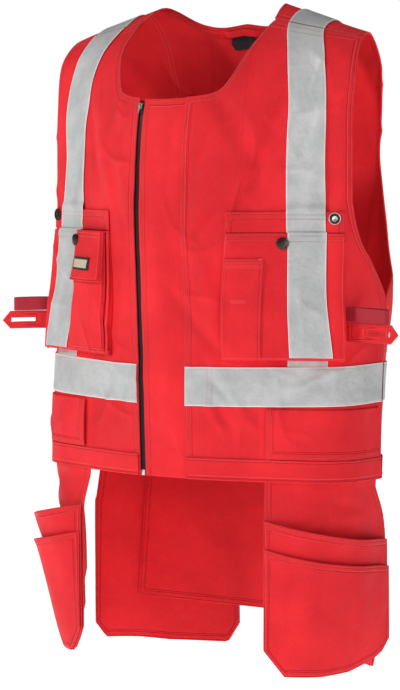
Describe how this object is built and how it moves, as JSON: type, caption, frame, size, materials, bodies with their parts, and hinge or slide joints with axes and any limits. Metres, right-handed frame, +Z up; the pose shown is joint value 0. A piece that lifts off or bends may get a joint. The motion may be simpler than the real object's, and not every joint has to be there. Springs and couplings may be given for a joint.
{
  "type": "utility work vest",
  "caption": "Sleeveless zip-front work vest with reflective tape, chest and hand pockets, side loops, hanging tool pouches at the front and rear, and a short tail flap.",
  "frame": {"origin": "between the shoulders, midway across the vest, at the height where its shoulders rest on the wearer", "axes": "+Z up, the wearer faces -Y, +X is the wearer's left"},
  "size_m": [0.6065, 0.2587, 0.871],
  "materials": {
    "cloth": "high-visibility red coated twill, soft sheen",
    "reflective_tape": "silver glass-bead reflective tape, satin",
    "webbing": "ribbed dark red webbing",
    "zip": "black moulded zip",
    "steel": "bright nickel",
    "bronze": "dark burnished bronze",
    "black_label": "black woven label",
    "flap_label": "beige woven label with a black border"
  },
  "bodies": {
    "root": {"front_right": "cloth", "front_left": "cloth", "back_panel": "cloth", "placket": "cloth", "zip_tape": "zip", "zip_teeth": "zip", "zip_slider": "steel", "zip_box": "steel", "neck_facing": "cloth", "hanger_loop": "cloth", "neck_label": "black_label", "waistband_right": "cloth", "waistband_left": "cloth", "waistband_back": "cloth", "waist_tape_right": "reflective_tape", "waist_tape_left": "reflective_tape", "waist_tape_back": "reflective_tape", "pocket_facing_right": "cloth", "pocket_facing_left": "cloth", "chest_pocket_right": "cloth", "chest_pocket_left": "cloth", "pocket_tape_right": "reflective_tape", "pocket_tape_left": "reflective_tape", "pen_pocket": "cloth", "phone_pocket": "cloth", "phone_flap": "cloth", "flap_label": "flap_label", "front_tape_right": "reflective_tape", "front_tape_left": "reflective_tape", "back_tape_right": "reflective_tape", "back_tape_left": "reflective_tape", "stud_right": "steel", "stud_left": "steel", "cap_right": "bronze", "cap_left": "bronze", "hand_pocket_right": "cloth", "hand_pocket_left": "cloth", "webbing_loop_right": "webbing", "webbing_loop_left": "webbing", "tab_loop_right": "cloth", "tab_loop_left": "cloth", "holster_right": "cloth", "holster_left": "cloth", "inner_pouch_right": "cloth", "inner_pouch_left": "cloth", "outer_pouch_right": "cloth", "outer_pouch_left": "cloth", "rear_pouch_right": "cloth", "rear_pouch_left": "cloth", "rear_pocket_right": "cloth", "rear_pocket_left": "cloth", "tail_flap": "cloth"}
  },
  "joints": []
}
